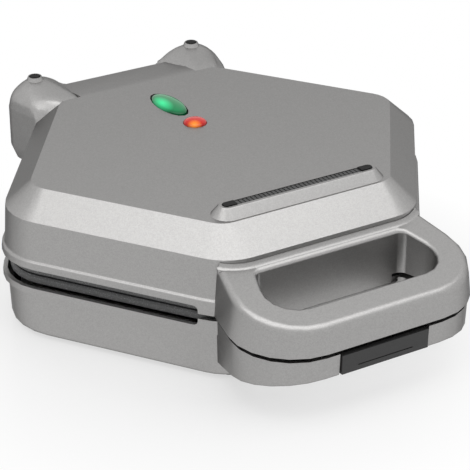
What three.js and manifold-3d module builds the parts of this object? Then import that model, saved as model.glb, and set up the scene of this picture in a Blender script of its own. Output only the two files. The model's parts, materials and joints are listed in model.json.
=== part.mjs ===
// A hexagonal samosa maker: a lid and a base, hinged at the back, each with a grill plate of six
// triangular pockets, and a split loop handle with a rocker latch at the front.
// Lengths are millimetres. x runs along the hinge, y from the handle to the hinge, z up from the
// surface that the feet stand on. The hexagon's centre is at x = y = 0 inside the groups below.
import * as THREE from 'three';
import { mergeVertices } from 'three/addons/utils/BufferGeometryUtils.js';
import Module from 'manifold-3d';

const wasm = await Module();
wasm.setup();

const degree = Math.PI / 180;

// Heights
const footHeight = 2.2;
const baseHeight = 35.8;
const partingGap = 3;
const lidHeight = 46;
const restHeight = 6;

// Plan of the body at the foot of the lid's chamfer
const slantAngle = 55 * degree;
const bodySlant = 115.2;
const bodyFront = 114.1;
const tipRadius = 31;
const cornerRadius = 28;

// Clearances and cuts
const seatGap = 0.3;
const turnGap = 0.1;
const cutOver = 1;
const facet = 0.2;

// Shell of the lid and of the base
const shellWall = 2.5;
const lipOut = 3.3;
const lidLipHeight = 7.4;
const lidLipRise = 3.6;
const bandDraft = 1.3;
const chamferDrop = 13.7;
const chamferRun = 15.2;
const chamferRunStraight = 17.2;
const baseLipHeight = 8.4;
const baseLipSlope = 1.2;
const baseDraft = 0.5;
const baseRound = 3;
const baseTipGrow = 6.5;

// Windows in both lips, which show the edges of the plates
const windowRise = 4.4;
const windowFall = 4.4;
const windowFrontMargin = 12;
const windowBackMargin = 44;
const windowCornerRadius = 2.5;

// Hinge
const hingeSetback = 14.9;
const hingePinRadius = 3;
const hingeEyeWall = 4;
const hingeEyeWidth = 6;
const hingeSideGap = 0.5;
const hingePinReach = 14;
const armDepth = 7;
const armRootHeight = 9;

// Domes over the hinge, the ears of the lid
const earInner = 38;
const earOuter = 76.6;
const earBend = 60;
const earRidge = 68.5;
const earBackReach = 9;
const earFrontReach = 33;
const earRidgeReach = 25;
const earInnerRadius = 3;
const earBendRadius = 14;
const earRidgeRadius = 2.4;
const earBackRadius = 10;
const earFootInset = 3.5;
const earFootHeight = 9;
const domeDrop = 12;
const capRadius = 3.4;
const capHeight = 3.7;
const capCentre = 55.8;
const capRim = 0.9;
const collarHeight = 2.4;
const collarSpread = 1;
const flareReach = 6;

// Roof between the domes
const roofCreaseReach = 2.5;
const roofSlopeShare = 0.155;
const roofBackReach = 5;
const roofRound = 4;
const roofSkirtClear = 10.4;

// Rail on the front of the top face
const railY = -86.6;
const railHalfLength = 50;
const railHalfWidth = 4.4;
const railRun = 4.6;
const railSlotHalfLength = 48.4;
const railSlotHalfWidth = 2.7;
const railSlotDepth = 2.8;
const railFootLength = 8;
const railFootProud = 0.5;
const railStripSink = 0.3;
const railGrooveCount = 30;
const railGrooveDepth = 0.4;

// Indicator lenses
const readyLensY = 58.5;
const readyLensLength = 38;
const readyLensWidth = 15.5;
const powerLensY = 27;
const powerLensSize = 14;
const lensRise = 2.8;
const lensFlange = 1.6;
const lensFlangeHeight = 1.6;
const lampRadius = 2.5;
const lampLength = 14;
const lampSpace = 2.5;
const lampBracketWidth = 12;
const lampBracketSheet = 1.5;
const lampBracketReach = 8;

// Handle loop, seen from above
const handleRootHalfWidth = 66;
const handleFrontHalfWidth = 78.5;
const handleReach = 58.2;
const handleCornerRadius = 34;
const handleWall = 2.5;
const handleDraft = 1.7;
const handleRound = 4;
const handleTopDrop = 18.4;
const handleSlopeShare = 0.2;
const lowerSlopeShare = 0.22;
const handleRootDepth = 10;
const rootFilletRun = 2.2;
const rootFilletRise = 2.6;
const gripGap = 5.1;
const gripDepth = 35.8;
const gripBackHalfWidth = 47.5;
const gripFrontHalfWidth = 59.4;
const gripFrontRadius = 16.2;
const gripBackRadius = 5;
const gripRound = 2.2;
const gripSkirtDrop = 5.3;
const gripSkirtHalfWidth = 41.5;
const lowerHandleDepth = 13;
const lowerHandleInset = 1.5;
const lowerHandleRound = 1.2;
const handleCoverSheet = 2;
const handleCoverSink = 2;
const coverPostRadius = 3.5;
const coverPostX = 36;
const handleScrewShare = 0.25;
const handleScrewDepth = 16;
const handleScrewHoleDepth = 7.5;

// Latch
const buttonHalfWidth = 27.6;
const buttonTopDrop = 1;
const buttonThickness = 3;
const buttonSideGap = 0.8;
const buttonBackGap = 0.8;
const buttonProud = 0.8;
const buttonFootGap = 0.6;
const pinDrop = 6.7;
const pinBack = 7.3;
const latchPinRadius = 1.5;
const latchHubRadius = 2.4;
const latchHubHalfWidth = 8;
const latchLugX = 22;
const latchLugWidth = 3;
const latchArmThickness = 2.5;
const latchNose = 2.5;
const latchNoseHeight = 3;
const latchSlotRoom = 3.2;
const pinBossWidth = 4;
const pinBossHalfDepth = 3.5;
const springWire = 0.6;
const buttonGrooveHalfLength = 17.4;
const buttonGrooveDepth = 0.6;
const buttonGrooveRise = 3;

// Grill plates
const plateGap = 1;
const plateClearance = 2;
const plateRim = 5;
const plateRimWidth = 3.5;
const plateSheet = 3;
const plateRound = 1;
const pocketWeb = 14;
const pocketLand = 20;
const pocketDepth = 15;
const pocketWall = 2.5;
const pocketRadius = 7;
const pocketFloorRadius = 4;
const pocketSlopeInset = 3;
const pocketFloorInset = 9;
const plateScrewReach = 62;

// Heating elements, heat shields and what is fixed below the lower plate
const elementRadius = 3.25;
const elementGap = 24;
const shieldSheet = 1;
const shieldClear = 2;
const shieldMargin = 6.5;
const shieldRim = 11;
const bossRadius = 4;
const bossShoulder = 2;
const thermostatRadius = 9;
const thermostatHeight = 9;
const thermostatTabWidth = 5;
const thermostatTabSheet = 0.8;
const thermostatTabLength = 4;
const fuseRadius = 2.2;
const fuseLength = 16;
const fuseLeadRadius = 0.6;
const fuseLeadLength = 8;
const fuseX = 46;
const terminalWidth = 30;
const terminalDepth = 14;
const terminalHeight = 9;
const terminalMargin = 5;
const terminalWell = 6;
const terminalWellDepth = 7;
const terminalCount = 3;

// Feet, vents, wiring cover and cord gland
const footRadius = 7;
const footRecess = 1;
const footSlant = 102;
const ventCount = 7;
const ventWidth = 3;
const ventLength = 34;
const ventPitch = 8;
const ventY = -52;
const wiringCoverWidth = 64;
const wiringCoverDepth = 34;
const wiringCoverSheet = 2;
const wiringCoverMargin = 10;
const wiringLedge = 4;
const glandRadius = 4.2;
const glandLength = 8;
const glandFlange = 1;
const glandFlangeSheet = 1.5;
const cordRadius = 3;
const glandHeight = 10.6;

// Screws
const screwRadius = 1.4;
const screwHeadRadius = 2.8;
const screwHeadHeight = 1.5;
const screwLength = 8;
const handleScrewLength = 11;

// How finely round stretches are cut
const cornerSteps = 5;
const pocketSteps = 3;
const handleSteps = 6;
const roundSteps = 3;
const rodSides = 16;
const thinRodSides = 10;
const elementSides = 6;
const elementSteps = 60;

// Levels that follow from the heights
const baseBottom = footHeight;
const baseRim = baseBottom + baseHeight;
const lidRim = baseRim + partingGap;
const topFace = lidRim + lidHeight;
const chamferFoot = topFace - chamferDrop;
const topInside = topFace - shellWall;
const floorInside = baseBottom + shellWall;
const restPlane = topFace + restHeight;
const lowerFace = (baseRim + lidRim - plateGap) / 2;
const upperFace = lowerFace + plateGap;

// Hinge axis: halfway up to the plane of the caps, so that the opened lid lies level on them
const hingeY = bodyFront + hingeSetback;
const hingeZ = (restPlane + seatGap) / 2;
const hingeEyeRadius = hingePinRadius + hingeEyeWall;

// Solids

function solidOf(geometry) {
  const bare = geometry.clone();
  bare.deleteAttribute('normal');
  bare.deleteAttribute('uv');
  const merged = mergeVertices(bare);
  const index = merged.index.array;
  const kept = [];
  for (let i = 0; i < index.length; i += 3) {
    const [a, b, c] = index.slice(i, i + 3);
    if (a !== b && b !== c && c !== a) kept.push(a, b, c);
  }
  const vertProperties = Float32Array.from(merged.attributes.position.array);
  const triVerts = Uint32Array.from(kept);
  return new wasm.Manifold(new wasm.Mesh({ numProp: 3, vertProperties, triVerts }));
}

function geometryOf(solid) {
  const mesh = solid.getMesh();
  const geometry = new THREE.BufferGeometry();
  geometry.setAttribute('position', new THREE.BufferAttribute(mesh.vertProperties, 3));
  geometry.setIndex(new THREE.BufferAttribute(mesh.triVerts, 1));
  geometry.computeVertexNormals();
  return geometry;
}

function join(first, ...others) {
  return others.reduce((whole, other) => whole.add(other), first);
}

function cut(first, ...others) {
  return others.reduce((whole, other) => whole.subtract(other), first);
}

function block(x, y, z) {
  const geometry = new THREE.BoxGeometry(x[1] - x[0], y[1] - y[0], z[1] - z[0]);
  geometry.translate((x[0] + x[1]) / 2, (y[0] + y[1]) / 2, (z[0] + z[1]) / 2);
  return solidOf(geometry);
}

// A round bar along x, y or z, from one end to the other
function rod(axis, centre, radius, from, to, sides = rodSides) {
  const geometry = new THREE.CylinderGeometry(radius, radius, to - from, sides);
  const middle = (from + to) / 2;
  if (axis === 'x') {
    geometry.rotateZ(Math.PI / 2);
    geometry.translate(middle, centre[0], centre[1]);
  } else if (axis === 'y') {
    geometry.translate(centre[0], middle, centre[1]);
  } else {
    geometry.rotateX(Math.PI / 2);
    geometry.translate(centre[0], centre[1], middle);
  }
  return solidOf(geometry);
}

// A solid skinned over rings of points that all run counter-clockwise, the lowest ring first
function loft(rings) {
  const count = rings[0].length;
  const positions = rings.flat().flatMap((point) => [point.x, point.y, point.z]);
  const triangles = [];
  for (let level = 0; level + 1 < rings.length; level += 1) {
    for (let i = 0; i < count; i += 1) {
      const a = level * count + i;
      const b = level * count + ((i + 1) % count);
      triangles.push(a, b, b + count, a, b + count, a + count);
    }
  }
  const addCap = (ring, offset, up) => {
    const contour = ring.map((point) => new THREE.Vector2(point.x, point.y));
    for (const [i, j, k] of THREE.ShapeUtils.triangulateShape(contour, [])) {
      const turn = contour[j].clone().sub(contour[i]).cross(contour[k].clone().sub(contour[i]));
      const order = turn > 0 === up ? [i, j, k] : [i, k, j];
      triangles.push(...order.map((corner) => corner + offset));
    }
  };
  addCap(rings[0], 0, false);
  addCap(rings.at(-1), (rings.length - 1) * count, true);
  const geometry = new THREE.BufferGeometry();
  geometry.setAttribute('position', new THREE.Float32BufferAttribute(positions, 3));
  geometry.setIndex(triangles);
  return solidOf(geometry);
}

// A flat outline, given as [a, b] points, extruded along x (points are y, z) or along z (x, y)
function prism(axis, points, from, to) {
  const shape = new THREE.Shape(points.map(([a, b]) => new THREE.Vector2(a, b)));
  const geometry = new THREE.ExtrudeGeometry(shape, { depth: to - from, bevelEnabled: false });
  if (axis === 'x') {
    geometry.rotateX(Math.PI / 2);
    geometry.rotateZ(Math.PI / 2);
    geometry.translate(from, 0, 0);
  } else {
    geometry.translate(0, 0, from);
  }
  return solidOf(geometry);
}

// Outlines

function polar(centre, radius, angle) {
  return [centre[0] + radius * Math.cos(angle), centre[1] + radius * Math.sin(angle)];
}

function arc(centre, radius, start, end, steps) {
  return Array.from({ length: steps + 1 }, (_, i) =>
    polar(centre, radius, start + ((end - start) * i) / steps));
}

// Moves each side of a counter-clockwise polygon inwards by its own distance
function drawnIn(corners, insets) {
  const lines = corners.map((from, i) => {
    const to = corners[(i + 1) % corners.length];
    const along = new THREE.Vector2(to[0] - from[0], to[1] - from[1]).normalize();
    const inwards = new THREE.Vector2(-along.y, along.x);
    const inset = Array.isArray(insets) ? insets[i] : insets;
    return { point: new THREE.Vector2(...from).addScaledVector(inwards, inset), along };
  });
  return lines.map((line, i) => {
    const before = lines[(i + lines.length - 1) % lines.length];
    const apart = line.point.clone().sub(before.point);
    const reach = apart.cross(line.along) / before.along.cross(line.along);
    const meeting = before.point.clone().addScaledVector(before.along, reach);
    return [meeting.x, meeting.y];
  });
}

// Replaces each corner of a counter-clockwise polygon by an arc with the same number of points
function rounded(corners, radii, steps = cornerSteps) {
  return corners.flatMap((corner, i) => {
    const radius = Math.max(Array.isArray(radii) ? radii[i] : radii, facet);
    const here = new THREE.Vector2(...corner);
    const before = new THREE.Vector2(...corners[(i + corners.length - 1) % corners.length]);
    const after = new THREE.Vector2(...corners[(i + 1) % corners.length]);
    const back = before.sub(here).normalize();
    const on = after.sub(here).normalize();
    const half = Math.acos(back.dot(on)) / 2;
    const centre = here.addScaledVector(back.clone().add(on).normalize(), radius / Math.sin(half));
    const start = Math.atan2(back.x, -back.y);
    const sweep = Math.PI - 2 * half;
    return arc([centre.x, centre.y], radius, start, start + sweep, steps);
  });
}

function ringAt(points, height) {
  return points.map(([x, y]) => new THREE.Vector3(x, y, typeof height === 'function' ? height(y) : height));
}

// Steps of a quarter round: how far in, and how far short of the face, for each ring
function quarterRound(radius, steps = roundSteps) {
  return Array.from({ length: steps + 1 }, (_, i) => {
    const angle = (Math.PI / 2) * (i / steps);
    return { inset: radius * (1 - Math.cos(angle)), short: radius * (1 - Math.sin(angle)) };
  });
}

// The hexagon of the body: right tip, back corners, left tip, front corners
function bodyCorners() {
  const tip = bodySlant / Math.sin(slantAngle);
  const corner = (bodySlant - bodyFront * Math.cos(slantAngle)) / Math.sin(slantAngle);
  return [
    [tip, 0],
    [corner, bodyFront],
    [-corner, bodyFront],
    [-tip, 0],
    [-corner, -bodyFront],
    [corner, -bodyFront],
  ];
}

function bodyOutline(inset, straightInset = inset, tipGrow = 0) {
  const sides = [inset, straightInset, inset, inset, straightInset, inset];
  const tip = tipRadius + tipGrow - inset;
  const corner = cornerRadius - inset;
  return rounded(drawnIn(bodyCorners(), sides), [tip, corner, corner, tip, corner, corner]);
}

function bodyRing(height, inset, straightInset = inset, tipGrow = 0) {
  return ringAt(bodyOutline(inset, straightInset, tipGrow), height);
}

// Where the front of an outline lies at a given distance from the middle
function wallFrontY(inset, x) {
  const outline = bodyOutline(inset);
  const i = outline.findIndex(([here, y], n) => {
    const next = outline[(n + 1) % outline.length];
    return y < 0 && here <= x && next[0] > x;
  });
  const [from, to] = [outline[i], outline[(i + 1) % outline.length]];
  return THREE.MathUtils.mapLinear(x, from[0], to[0], from[1], to[1]);
}

// Materials

function finish(color, roughness, metalness) {
  return new THREE.MeshStandardMaterial({ color, roughness, metalness });
}

const silverPlastic = finish(0x9a9996, 0.45, 0.35);
const blackRubber = finish(0x151515, 0.9, 0);
const greyPlastic = finish(0x4a4a4c, 0.5, 0);
const blackPlastic = finish(0x1c1c1d, 0.6, 0);
const coatedMetal = finish(0x3c3c3e, 0.45, 0.4);
const elementMetal = finish(0x6f6b66, 0.5, 0.8);
const brightMetal = finish(0xb8babc, 0.35, 0.9);
const sheetMetal = finish(0xc4c6c8, 0.4, 0.9);
const whiteCeramic = finish(0xe6e2d8, 0.7, 0);
const greenLens = finish(0x13a04a, 0.15, 0);
const orangeLens = finish(0xf0502a, 0.15, 0);
const clearGlass = finish(0xe8e4da, 0.1, 0);

// Screws

// A cheese-head screw along z with its head on top of z = 0 and its shank below
function screwSolid(length) {
  const head = rod('z', [0, 0], screwHeadRadius, 0, screwHeadHeight, thinRodSides);
  const shank = rod('z', [0, 0], screwRadius, -length, screwHeadHeight / 2, thinRodSides);
  return join(head, shank);
}

function screwHole(axis, centre, from, to) {
  return rod(axis, centre, screwRadius + seatGap, from, to, thinRodSides);
}

// Grill plates, drawn facing up with the face at z = 0

const plateInset = shellWall + plateClearance - lipOut;
const shieldDepth = pocketDepth + pocketWall + shieldClear;

function spokeCorners() {
  return drawnIn(bodyCorners(), plateInset);
}

function plateScrewPlaces() {
  const corners = spokeCorners();
  return [1, 2, 4, 5].map((i) => {
    const spoke = new THREE.Vector2(...corners[i]).normalize();
    return [spoke.x * plateScrewReach, spoke.y * plateScrewReach];
  });
}

function pocketRing(index, height, inset, radius) {
  const corners = spokeCorners();
  const triangle = [[0, 0], corners[index], corners[(index + 1) % corners.length]];
  const web = pocketWeb / 2 + inset;
  return ringAt(rounded(drawnIn(triangle, [web, pocketLand + inset, web]), radius, pocketSteps), height);
}

function pocketSolid(index, grow, top) {
  const floorRadius = pocketFloorRadius + grow;
  return loft([
    pocketRing(index, -pocketDepth - grow, pocketFloorInset - grow, floorRadius),
    pocketRing(index, -pocketDepth / 2 - grow, pocketSlopeInset - grow, pocketRadius + grow),
    pocketRing(index, top, -grow, pocketRadius + grow),
  ]);
}

function grillPlate() {
  const round = plateInset + plateRound;
  const edge = loft([
    bodyRing(-plateRim, round),
    bodyRing(plateRound - plateRim, plateInset),
    bodyRing(-plateRound, plateInset),
    bodyRing(0, round),
  ]);
  const inside = plateInset + plateRimWidth;
  const recess = loft([bodyRing(-plateRim - cutOver, inside), bodyRing(-plateSheet, inside)]);
  const shells = bodyCorners().map((_, i) => pocketSolid(i, pocketWall, -plateSheet / 2));
  const pockets = bodyCorners().map((_, i) => pocketSolid(i, 0, cutOver));
  const holes = plateScrewPlaces().flatMap((place) => [
    screwHole('z', place, -plateSheet - cutOver, cutOver),
    rod('z', place, screwHeadRadius + seatGap, -screwHeadHeight - seatGap, cutOver),
  ]);
  return cut(join(cut(edge, recess), ...shells), ...pockets, ...holes);
}

// A tubular element that runs round the pockets and is open at the back
function heatingElement() {
  const inset = plateInset + (plateRimWidth + pocketLand - pocketWall) / 2;
  const outline = bodyOutline(inset);
  const back = outline.findIndex(([x], i) => i > 0 && x < 0 && outline[i - 1][0] > 0);
  const run = [...outline.slice(back), ...outline.slice(0, back)];
  const backY = bodyFront - inset;
  const points = [[-elementGap / 2, backY], ...run, [elementGap / 2, backY]];
  const depth = -plateSheet - seatGap - elementRadius;
  const path = new THREE.CurvePath();
  for (let i = 0; i + 1 < points.length; i += 1) {
    path.add(new THREE.LineCurve3(
      new THREE.Vector3(...points[i], depth),
      new THREE.Vector3(...points[i + 1], depth),
    ));
  }
  const spaced = path.getSpacedPoints(elementSteps);
  const curve = new THREE.CatmullRomCurve3(spaced, false, 'centripetal');
  const section = new THREE.Shape(
    arc([0, 0], elementRadius, 0, 2 * Math.PI, elementSides).slice(0, -1)
      .map(([a, b]) => new THREE.Vector2(a, b)),
  );
  return solidOf(new THREE.ExtrudeGeometry(section, { steps: elementSteps, extrudePath: curve }));
}

const handleScrewX = THREE.MathUtils.lerp(gripBackHalfWidth, handleRootHalfWidth, handleScrewShare);
const handleScrewSeatY = wallFrontY(shellWall, handleScrewX + screwHeadRadius) + seatGap;

// A thin dish behind a plate that keeps the heat off the shell, with holes for the bosses and room
// for the heads of the handle's screws
function heatShield() {
  const bottom = -shieldDepth - shieldSheet;
  const outside = loft([bodyRing(bottom, shieldMargin), bodyRing(bottom + shieldRim, shieldMargin)]);
  const wall = shieldMargin + shieldSheet;
  const inside = loft([
    bodyRing(bottom + shieldSheet, wall),
    bodyRing(bottom + shieldRim + cutOver, wall),
  ]);
  const holes = plateScrewPlaces().map((place) =>
    rod('z', place, bossRadius + seatGap, bottom - cutOver, bottom + shieldSheet + cutOver));
  const rooms = [-handleScrewX, handleScrewX].map((x) =>
    rod('y', [x, -handleScrewDepth], screwHeadRadius + seatGap, -bodyFront,
      handleScrewSeatY + screwHeadHeight + seatGap));
  return cut(outside, inside, ...holes, ...rooms);
}

// Screw bosses that carry a plate and a shield, from a shell's inside face to the plate's back
function plateBosses(face, shellFace) {
  const way = Math.sign(face - shellFace);
  const end = face - way * (plateSheet + seatGap);
  const shoulder = face - way * (shieldDepth + shieldSheet + seatGap);
  const root = shellFace - way * (shellWall / 2);
  const span = (a, b) => [Math.min(a, b), Math.max(a, b)];
  const wide = bossRadius + bossShoulder;
  const posts = plateScrewPlaces().flatMap((place) => [
    rod('z', place, wide, ...span(root, shoulder)),
    rod('z', place, bossRadius, ...span(root, end)),
  ]);
  const holes = plateScrewPlaces().map((place) =>
    screwHole('z', place, ...span(end - way * (screwLength + cutOver), end + way * cutOver)));
  return { posts, holes };
}

// Lid shell

// The lip's rounded shoulder and the hollow curve above it: height as a share of the lip's rise,
// and how far out it lies as a share of the lip's step
const lipShares = [
  { rise: 0, out: 1 },
  { rise: 0.19, out: 0.92 },
  { rise: 0.33, out: 0.72 },
  { rise: 0.4, out: 0.48 },
  { rise: 0.46, out: 0.26 },
  { rise: 0.62, out: 0.1 },
  { rise: 1, out: 0 },
];

const lidLipTop = lidRim + lidLipHeight;
const lidLipStep = lipOut - bandDraft;

function lidOutside(grow = 0) {
  return loft([
    bodyRing(lidRim - grow, -lipOut - grow),
    ...lipShares.map(({ rise, out }) =>
      bodyRing(lidLipTop + rise * lidLipRise, -bandDraft - out * lidLipStep - grow)),
    bodyRing(chamferFoot, -grow),
    bodyRing(topFace + grow, chamferRun - grow, chamferRunStraight - grow),
  ]);
}

function lidInside() {
  return loft([
    bodyRing(lidRim - cutOver, shellWall - lipOut),
    bodyRing(lidLipTop - shellWall / 2, shellWall - lipOut),
    bodyRing(lidLipTop + lidLipRise, shellWall - bandDraft),
    bodyRing(chamferFoot - shellWall / 2, shellWall),
    bodyRing(topInside, chamferRun + shellWall / 2, chamferRunStraight + shellWall / 2),
  ]);
}

// An outline as drawn for the right side, or its mirror image for the left, counter-clockwise
function mirrored(points, side) {
  return side > 0 ? points : points.map(([x, y]) => [-x, y]).reverse();
}

const capEdge = capRadius + capRim;
const collarTop = restPlane - railFootProud;
const roofBack = hingeY + roofBackReach;

// Rings of an ear above its upright wall: height as a share of the dome's rise to the collar's foot,
// then how far each corner has gone, as shares of its way to the collar. Flare is the share of the
// hollow curve that runs from the inner side down to the roof.
const domeShares = [
  { rise: 0, front: 0, bend: 0, bendIn: 0, ridge: 0, ridgeIn: 0, outer: 0, back: 0, inner: 0, flare: 0 },
  { rise: 0.36, front: 0, bend: 0, bendIn: 0.4, ridge: 0.14, ridgeIn: 0.05, outer: 0.03, back: 0,
    inner: 0, flare: 1 },
  { rise: 0.44, front: 0, bend: 0, bendIn: 0.52, ridge: 0.22, ridgeIn: 0.09, outer: 0.06, back: 0.01,
    inner: 0, flare: 0.3 },
  { rise: 0.55, front: 0, bend: 0, bendIn: 0.7, ridge: 0.34, ridgeIn: 0.16, outer: 0.12, back: 0.04,
    inner: 0, flare: 0.03 },
  { rise: 0.64, front: 0, bend: 0, bendIn: 0.85, ridge: 0.46, ridgeIn: 0.24, outer: 0.2, back: 0.1,
    inner: 0.1, flare: 0 },
  { rise: 0.74, front: 0, bend: 0, bendIn: 0.95, ridge: 0.61, ridgeIn: 0.35, outer: 0.32, back: 0.21,
    inner: 0.25, flare: 0 },
  { rise: 0.8, front: 0.14, bend: 0.13, bendIn: 1, ridge: 0.68, ridgeIn: 0.38, outer: 0.4, back: 0.3,
    inner: 0.35, flare: 0 },
  { rise: 0.88, front: 0.49, bend: 0.5, bendIn: 1, ridge: 0.79, ridgeIn: 0.5, outer: 0.55, back: 0.45,
    inner: 0.52, flare: 0 },
  { rise: 0.965, front: 0.85, bend: 0.85, bendIn: 1, ridge: 0.9, ridgeIn: 0.7, outer: 0.76, back: 0.7,
    inner: 0.74, flare: 0 },
  { rise: 1, front: 1, bend: 1, bendIn: 1, ridge: 1, ridgeIn: 1, outer: 1, back: 1, inner: 1, flare: 0 },
];

// The plan of an ear at one height: five corners, and how far the sides are drawn in
function earRing(side, height, share, inset, flare) {
  const { lerp } = THREE.MathUtils;
  const frontY = hingeY - earFrontReach;
  const backY = lerp(hingeY + earBackReach, hingeY + capEdge, share.back);
  const innerX = lerp(earInner, capCentre - capEdge, share.inner);
  const outerX = lerp(earOuter, capCentre + capEdge, share.outer);
  const corners = [
    [innerX, lerp(frontY, hingeY - capEdge, share.front)],
    [lerp(earBend, capCentre, share.bendIn), lerp(frontY, hingeY - capEdge - facet, share.bend)],
    [lerp(earRidge, capCentre + capEdge, share.ridgeIn),
      lerp(hingeY - earRidgeReach, hingeY - capEdge, share.ridge)],
    [outerX, backY],
    [innerX - share.flare * flare, backY],
  ];
  const radii = [earInnerRadius, earBendRadius, earRidgeRadius, earBackRadius, earInnerRadius];
  const shrunk = radii.map((radius) => lerp(Math.max(radius - inset.back, facet), capEdge - facet,
    share.inner));
  const sides = [inset.front, inset.front, inset.outer, inset.back, inset.inner];
  return ringAt(mirrored(rounded(drawnIn(corners, sides), shrunk), side), height);
}

// The ear itself, or the room inside it when it has a wall
function earSolid(side, wall, shares, bottom, top, flare) {
  const shoulder = topFace - domeDrop;
  const upright = { front: wall, outer: wall, back: wall, inner: wall };
  const foot = { ...upright, outer: wall + earFootInset, back: wall + earFootInset };
  const lowest = domeShares[0];
  return loft([
    earRing(side, bottom, lowest, foot, flare),
    earRing(side, lidRim + earFootHeight, lowest, upright, flare),
    ...shares.map((share) =>
      earRing(side, shoulder + share.rise * (top - shoulder), share, upright, flare)),
  ]);
}

function earOutside(side) {
  return earSolid(side, 0, domeShares, lidRim, collarTop - collarHeight, flareReach);
}

function earInside(side) {
  const top = restPlane - capHeight - seatGap - shellWall;
  return earSolid(side, shellWall, domeShares.slice(0, -2), lidRim - cutOver, top, 0);
}

// The cone on top of a dome, which holds the cap
function collar(side) {
  const foot = collarTop - collarHeight;
  const rings = [
    { radius: capEdge + collarSpread, height: foot - facet },
    { radius: capEdge + collarSpread, height: foot },
    { radius: capEdge, height: collarTop },
  ];
  return loft(rings.map(({ radius, height }) => {
    const circle = arc([side * capCentre, hingeY], radius, 0, 2 * Math.PI, rodSides).slice(0, -1);
    return ringAt(circle, height);
  }));
}

const roofCrease = bodyFront - chamferRunStraight + roofCreaseReach;
const roofSkirt = hingeZ + roofSkirtClear;

function roofHeight(y) {
  return topFace - (y - roofCrease) * roofSlopeShare;
}

// The roof that runs back between the domes, with its skirt over the hinge arms
function roofOutside() {
  const shoulder = roofBack - roofRound;
  const bend = roofRound / 2;
  const points = [
    [roofCrease - chamferRun, roofSkirt],
    [roofBack, roofSkirt],
    [roofBack, roofHeight(shoulder) - roofRound],
    [roofBack - bend / 2, roofHeight(shoulder) - bend],
    [shoulder, roofHeight(shoulder)],
    [roofCrease, topFace],
    [roofCrease - chamferRun, topFace],
  ];
  return prism('x', points, -earInner - shellWall, earInner + shellWall);
}

function roofInside() {
  const front = bodyFront + lipOut;
  const back = roofBack - shellWall;
  const points = [
    [front, lidRim - cutOver],
    [back, lidRim - cutOver],
    [back, roofHeight(back) - shellWall - roofRound / 2],
    [back - roofRound / 2, roofHeight(back) - shellWall],
    [front, roofHeight(front) - shellWall],
  ];
  return prism('x', points, -earInner + facet, earInner - facet);
}

function slotRing(height, halfLength, halfWidth) {
  const corners = [
    [halfLength, railY + halfWidth],
    [-halfLength, railY + halfWidth],
    [-halfLength, railY - halfWidth],
    [halfLength, railY - halfWidth],
  ];
  return ringAt(rounded(corners, halfWidth - facet), height);
}

function railOutside() {
  const top = restPlane - railFootProud;
  return loft([
    slotRing(topFace - shellWall / 2, railHalfLength + railRun, railHalfWidth + railRun),
    slotRing(topFace, railHalfLength + railRun, railHalfWidth + railRun),
    slotRing(top - railFootProud, railHalfLength + railFootProud, railHalfWidth + railFootProud),
    slotRing(top, railHalfLength, railHalfWidth),
  ]);
}

function railSlot(shrink, bottom, top) {
  const length = railSlotHalfLength - shrink;
  const width = railSlotHalfWidth - shrink;
  return loft([slotRing(bottom, length, width), slotRing(top, length, width)]);
}

const railFloor = restPlane - railFootProud - railSlotDepth;

// Windows through a lip on both sides, from near the front corner to behind the tip
function windowCuts(bottom, top) {
  const front = windowFrontMargin - bodyFront;
  const back = bodyFront - windowBackMargin;
  const inner = (bodySlant - bodyFront * Math.cos(slantAngle)) / Math.sin(slantAngle);
  const outer = bodySlant / Math.sin(slantAngle) + lipOut;
  const corners = [[front, bottom], [back, bottom], [back, top], [front, top]];
  const outline = rounded(corners, windowCornerRadius, roundSteps);
  return [prism('x', outline, inner, outer), prism('x', outline, -outer, -inner)];
}

function lensOutline(length, width) {
  return arc([0, 0], width / 2, 0, 2 * Math.PI, rodSides).slice(0, -1)
    .map(([x, y]) => [x, (y * length) / width]);
}

const handleScrewLidZ = upperFace + handleScrewDepth;
const handleScrewBaseZ = lowerFace - handleScrewDepth;

function lidShell() {
  const outside = join(lidOutside(), roofOutside(), earOutside(1), earOutside(-1), collar(1),
    collar(-1), railOutside());
  const inside = join(lidInside(), roofInside(), earInside(1), earInside(-1));
  const { posts, holes } = plateBosses(upperFace, topInside);
  const slot = railSlot(0, railFloor, restPlane + cutOver);
  const sockets = [-capCentre, capCentre].map((x) =>
    rod('z', [x, hingeY], capRadius + seatGap, restPlane - capHeight - seatGap, restPlane + cutOver));
  const lensHoles = [
    [readyLensY, readyLensLength, readyLensWidth],
    [powerLensY, powerLensSize, powerLensSize],
  ].map(([y, length, width]) => prism(
    'z',
    lensOutline(length + 2 * seatGap, width + 2 * seatGap).map(([a, b]) => [a, b + y]),
    topInside - cutOver,
    topFace + cutOver,
  ));
  const pinReach = earInner + hingePinReach;
  const bore = rod('x', [hingeY, hingeZ], hingePinRadius + turnGap, -pinReach, pinReach);
  const screwHoles = [-handleScrewX, handleScrewX].map((x) =>
    screwHole('y', [x, handleScrewLidZ], -bodyFront - lipOut - cutOver, handleScrewHoleDepth - bodyFront));
  const windows = windowCuts(lidRim - cutOver - windowCornerRadius, lidRim + windowRise);
  const shell = cut(outside, inside);
  return cut(join(shell, ...posts), ...holes, slot, ...sockets, ...lensHoles, bore, ...screwHoles,
    ...windows);
}

// Small pieces of the lid

function railStrip() {
  const top = restPlane - railFootProud - railStripSink;
  const half = railSlotHalfLength - railFootLength - seatGap;
  const width = railSlotHalfWidth - seatGap;
  const bar = block([-half, half], [railY - width, railY + width], [railFloor + seatGap, top]);
  const pitch = (2 * half) / (railGrooveCount + 1);
  const groove = railGrooveDepth * 2;
  const grooves = Array.from({ length: railGrooveCount }, (_, i) => {
    const x = -half + pitch * (i + 1);
    const y = [railY - width - cutOver, railY + width + cutOver];
    return block([x - groove / 2, x + groove / 2], y, [top - railGrooveDepth, top + cutOver]);
  });
  return cut(bar, ...grooves);
}

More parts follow.
